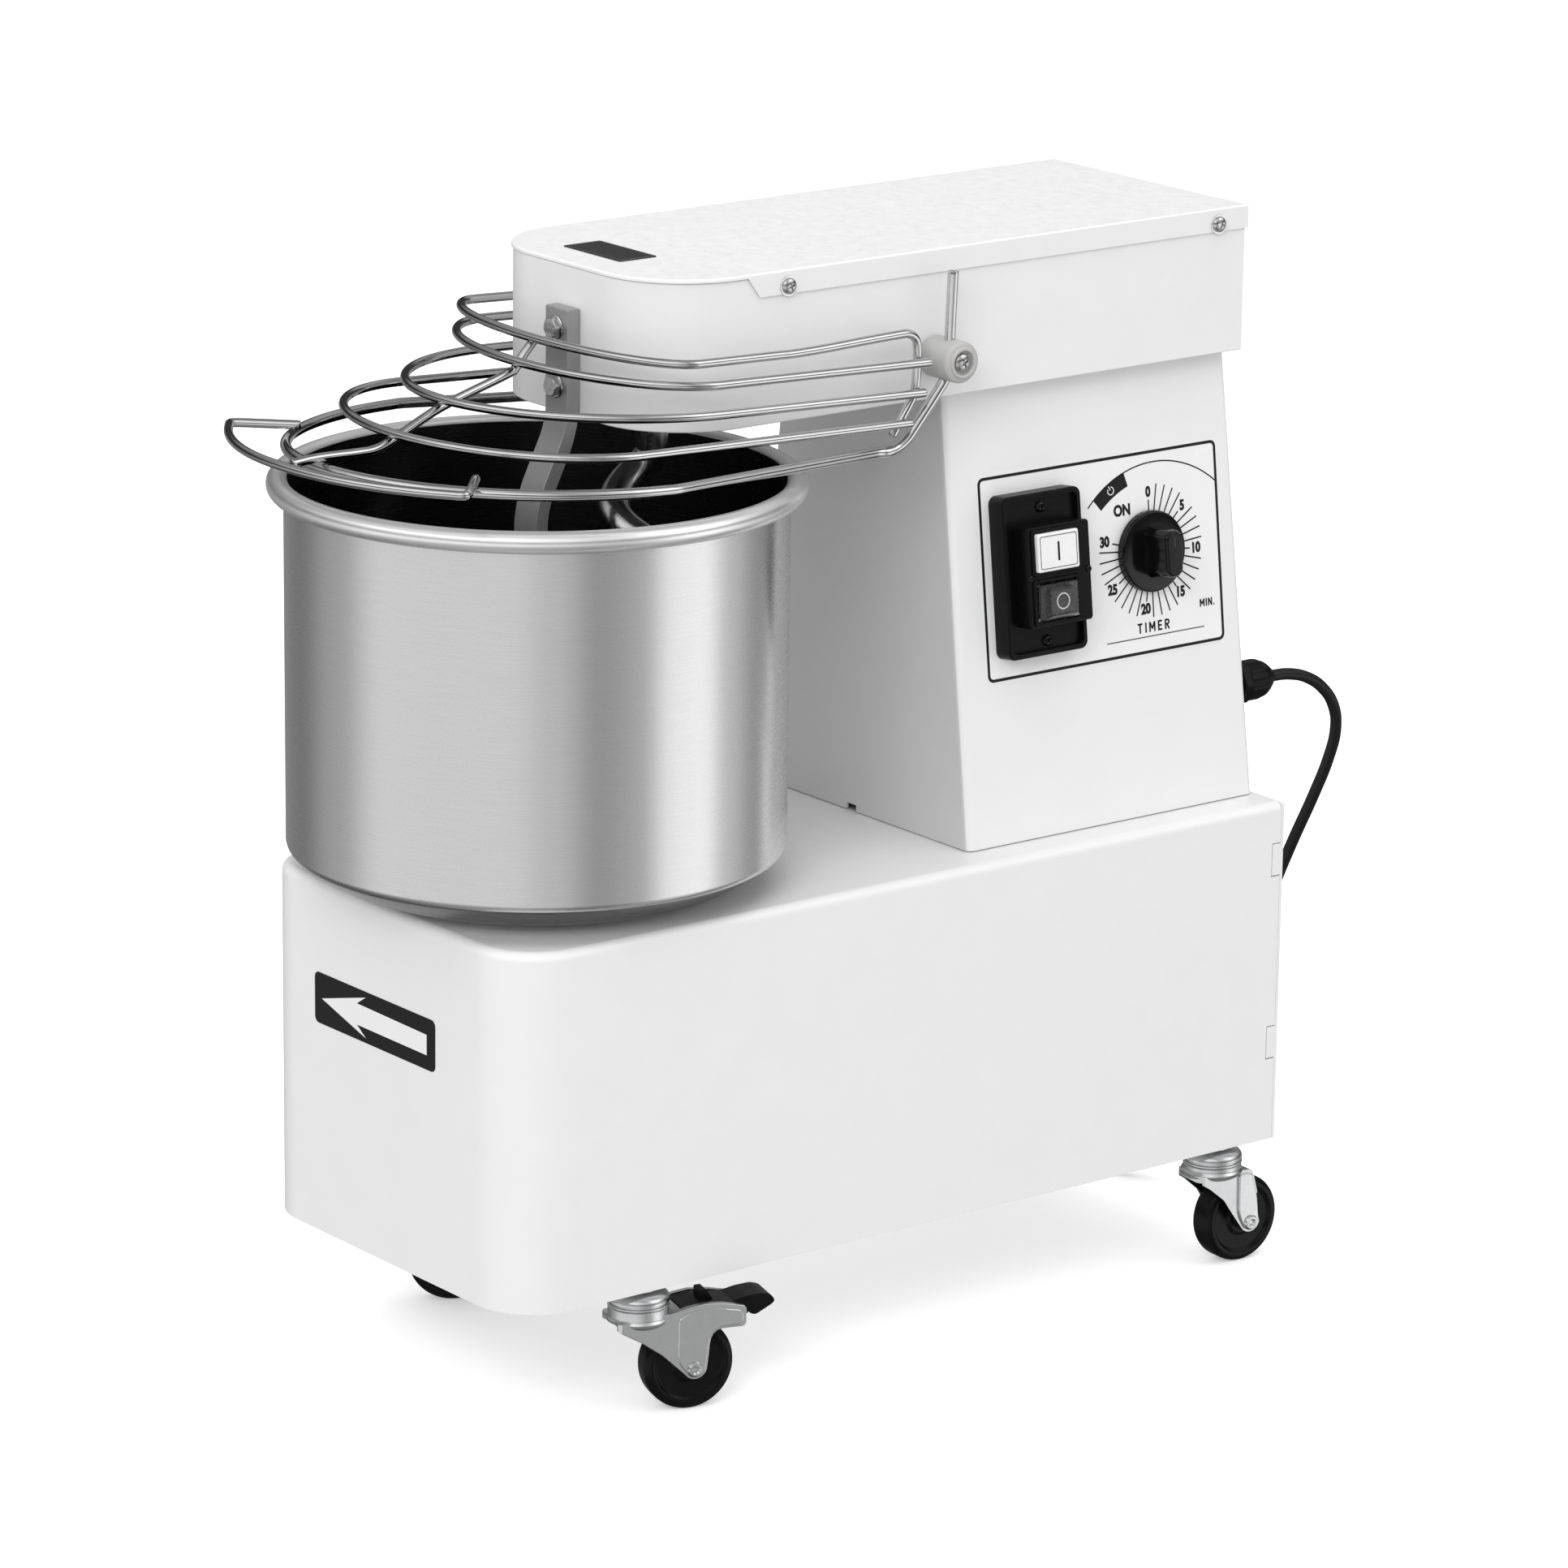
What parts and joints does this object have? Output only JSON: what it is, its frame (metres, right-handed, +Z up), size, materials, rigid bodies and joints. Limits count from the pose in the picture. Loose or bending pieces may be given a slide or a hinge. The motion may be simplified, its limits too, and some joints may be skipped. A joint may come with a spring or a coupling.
{
  "type": "spiral dough mixer",
  "caption": "Table-top spiral dough mixer on castors with a turning bowl, spiral hook, breaker bar, hinged wire guard and a side panel with switch and timer.",
  "frame": {"origin": "on the floor, under the middle of the machine without its mains cable", "axes": "+Z up, -Y towards the bowl and the user, +X out of the side with the control panel"},
  "size_m": [0.2774, 0.718, 0.5842],
  "materials": {
    "white_paint": "powder coat, semi-gloss",
    "stainless": "brushed",
    "chrome_wire": "polished",
    "machine_steel": "machined",
    "zinc_plate": "zinc plated",
    "cast_metal": "painted grey",
    "black_plastic": "moulded",
    "black_rubber": "satin",
    "nylon": "turned",
    "white_plastic": "gloss",
    "grey_plastic": "gloss"
  },
  "bodies": {
    "machine": {"base_housing": "white_paint", "base_floor_plate": "white_paint", "base_rear_cover": "white_paint", "column_housing": "white_paint", "head_housing": "white_paint", "head_lid": "white_paint", "breaker_bar": "stainless", "lower_chain": "machine_steel", "upper_chain": "machine_steel", "breaker_bolt_upper": "machine_steel", "breaker_bolt_lower": "machine_steel", "guard_pivot_pin_right": "machine_steel", "guard_pivot_pin_left": "machine_steel", "bowl_bearing_housing": "cast_metal", "spiral_bearing_housing": "cast_metal", "gearbox": "cast_metal", "motor": "cast_metal", "castor_race_front_right": "zinc_plate", "castor_race_front_left": "zinc_plate", "castor_race_rear_right": "zinc_plate", "castor_race_rear_left": "zinc_plate", "switch_housing": "black_plastic", "timer_body": "black_plastic", "guard_microswitch": "black_plastic", "cable_gland": "black_plastic", "mains_cable": "black_plastic", "mains_cable_tail": "black_plastic", "mains_cable_coil": "black_plastic", "mains_plug": "black_plastic"},
    "bowl": {"bowl": "stainless", "bowl_shaft": "machine_steel", "bowl_sprocket": "machine_steel"},
    "spiral": {"spiral_hook": "stainless", "spiral_sprocket": "machine_steel"},
    "drive": {"drive_shaft": "machine_steel", "drive_sprocket_lower": "machine_steel", "drive_sprocket_upper": "machine_steel"},
    "guard": {"guard_hoop_1": "chrome_wire", "guard_hoop_2": "chrome_wire", "guard_hoop_3": "chrome_wire", "guard_hoop_4": "chrome_wire", "guard_hoop_5": "chrome_wire", "guard_rib": "chrome_wire", "guard_handle": "chrome_wire", "guard_bush_right": "nylon", "guard_bush_left": "nylon"},
    "timer_knob": {"timer_knob": "black_plastic"},
    "start_button": {"start_button": "white_plastic"},
    "stop_button": {"stop_button": "grey_plastic"},
    "fork_front_right": {"castor_fork_front_right": "zinc_plate"},
    "wheel_front_right": {"castor_wheel_front_right": "black_rubber"},
    "fork_front_left": {"castor_fork_front_left": "zinc_plate"},
    "wheel_front_left": {"castor_wheel_front_left": "black_rubber"},
    "fork_rear_right": {"castor_fork_rear_right": "zinc_plate"},
    "wheel_rear_right": {"castor_wheel_rear_right": "black_rubber"},
    "fork_rear_left": {"castor_fork_rear_left": "zinc_plate"},
    "wheel_rear_left": {"castor_wheel_rear_left": "black_rubber"},
    "pedal_front_right": {"brake_pedal_front_right": "black_plastic"},
    "pedal_front_left": {"brake_pedal_front_left": "black_plastic"}
  },
  "joints": [
    {"name": "bowl_spin", "type": "hinge", "parent": "machine", "child": "bowl", "pos_m": [0, -0.1389, 0.2669], "axis": [0, 0, -1], "continuous": true},
    {"name": "drive_spin", "type": "hinge", "parent": "machine", "child": "drive", "pos_m": [0, 0.1061, 0.35], "axis": [0, 0, -1], "continuous": true},
    {"name": "spiral_spin", "type": "hinge", "parent": "machine", "child": "spiral", "pos_m": [0, -0.0659, 0.5049], "axis": [0, 0, -1], "continuous": true},
    {"name": "guard_lift", "type": "hinge", "parent": "machine", "child": "guard", "pos_m": [0, 0.056, 0.528], "axis": [-1, 0, 0], "range_deg": [0, 75]},
    {"name": "timer_turn", "type": "hinge", "parent": "machine", "child": "timer_knob", "pos_m": [0.07968, 0.2062, 0.40281], "axis": [-0.9931, 0, -0.1175], "range_deg": [-40, 285]},
    {"name": "start_press", "type": "slide", "parent": "machine", "child": "start_button", "axis": [-0.9931, 0, -0.1175], "range_m": [0, 0.003], "stiffness_N_per_m": 200},
    {"name": "stop_press", "type": "slide", "parent": "machine", "child": "stop_button", "axis": [-0.9931, 0, -0.1175], "range_m": [0, 0.003], "stiffness_N_per_m": 200},
    {"name": "swivel_front_right", "type": "hinge", "parent": "machine", "child": "fork_front_right", "pos_m": [0.106, -0.15, 0.0594], "axis": [0, 0, 1], "continuous": true},
    {"name": "roll_front_right", "type": "hinge", "parent": "fork_front_right", "child": "wheel_front_right", "pos_m": [0.11325, -0.12503, 0.0245], "axis": [-0.9603, 0.279, 0], "continuous": true},
    {"name": "brake_front_right", "type": "hinge", "parent": "fork_front_right", "child": "pedal_front_right", "pos_m": [0.11995, -0.10199, 0.052], "axis": [-0.9603, 0.279, 0], "range_deg": [0, 12]},
    {"name": "swivel_front_left", "type": "hinge", "parent": "machine", "child": "fork_front_left", "pos_m": [-0.106, -0.15, 0.0594], "axis": [0, 0, 1], "continuous": true},
    {"name": "roll_front_left", "type": "hinge", "parent": "fork_front_left", "child": "wheel_front_left", "pos_m": [-0.0934, -0.12726, 0.0245], "axis": [-0.8746, 0.4848, 0], "continuous": true},
    {"name": "brake_front_left", "type": "hinge", "parent": "fork_front_left", "child": "pedal_front_left", "pos_m": [-0.08176, -0.10627, 0.052], "axis": [-0.8746, 0.4848, 0], "range_deg": [0, 12]},
    {"name": "swivel_rear_right", "type": "hinge", "parent": "machine", "child": "fork_rear_right", "pos_m": [0.106, 0.2415, 0.0594], "axis": [0, 0, 1], "continuous": true},
    {"name": "roll_rear_right", "type": "hinge", "parent": "fork_rear_right", "child": "wheel_rear_right", "pos_m": [0.10687, 0.25808, 0.0245], "axis": [-0.9986, 0.0523, 0], "continuous": true},
    {"name": "swivel_rear_left", "type": "hinge", "parent": "machine", "child": "fork_rear_left", "pos_m": [-0.106, 0.2415, 0.0594], "axis": [0, 0, 1], "continuous": true},
    {"name": "roll_rear_left", "type": "hinge", "parent": "fork_rear_left", "child": "wheel_rear_left", "pos_m": [-0.10198, 0.25761, 0.0245], "axis": [-0.9703, 0.2419, 0], "continuous": true}
  ],
  "couplings": [
    {"joint": "drive_spin", "follows": "bowl_spin", "ratio": 4.5},
    {"joint": "spiral_spin", "follows": "bowl_spin", "ratio": 9}
  ]
}
